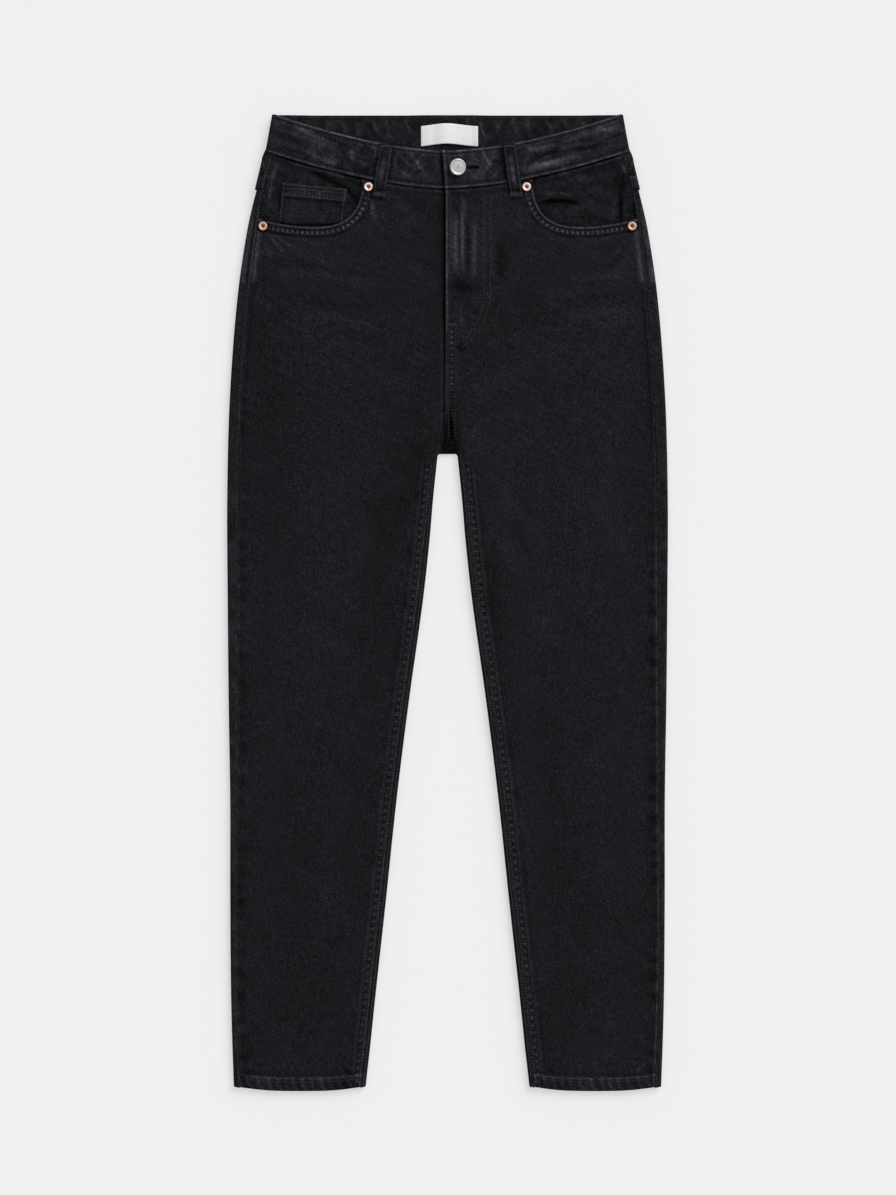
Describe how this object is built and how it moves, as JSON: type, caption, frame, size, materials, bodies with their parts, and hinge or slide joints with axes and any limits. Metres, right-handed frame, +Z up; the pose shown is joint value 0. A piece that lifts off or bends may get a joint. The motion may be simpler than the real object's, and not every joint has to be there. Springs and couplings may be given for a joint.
{
  "type": "mom jeans",
  "caption": "High-waisted straight-leg jeans laid flat on their back, fly closed, with front, coin and back pockets, belt loops, button and rivets.",
  "frame": {"origin": "under the middle of the whole garment, on the surface it lies on", "axes": "+X towards the wearer's left side, the viewer's right; +Y from the hems to the waist; +Z up, out of the front"},
  "size_m": [0.4588, 1.015, 0.0179],
  "materials": {
    "denim": "washed black cotton twill, matt, paler along the seams",
    "zip_tape": "black woven tape, matt",
    "label_satin": "white woven satin, bare",
    "button_metal": "brushed nickel with a polished rim",
    "rivet_copper": "satin copper"
  },
  "bodies": {
    "root": {"front_panel_right": "denim", "front_panel_left": "denim", "back_panel_right": "denim", "back_panel_left": "denim", "back_yoke_right": "denim", "back_yoke_left": "denim", "waistband_front_right": "denim", "waistband_front_left": "denim", "waistband_back": "denim", "pocket_facing_right": "denim", "pocket_facing_left": "denim", "coin_pocket": "denim", "back_pocket_right": "denim", "back_pocket_left": "denim", "belt_loop_front_right": "denim", "belt_loop_front_left": "denim", "belt_loop_side_right": "denim", "belt_loop_side_left": "denim", "belt_loop_back": "denim", "fly_shield": "denim", "fly_zip": "zip_tape", "waist_label": "label_satin", "button": "button_metal", "rivet_waist_right": "rivet_copper", "rivet_waist_left": "rivet_copper", "rivet_side_right": "rivet_copper", "rivet_side_left": "rivet_copper"}
  },
  "joints": []
}
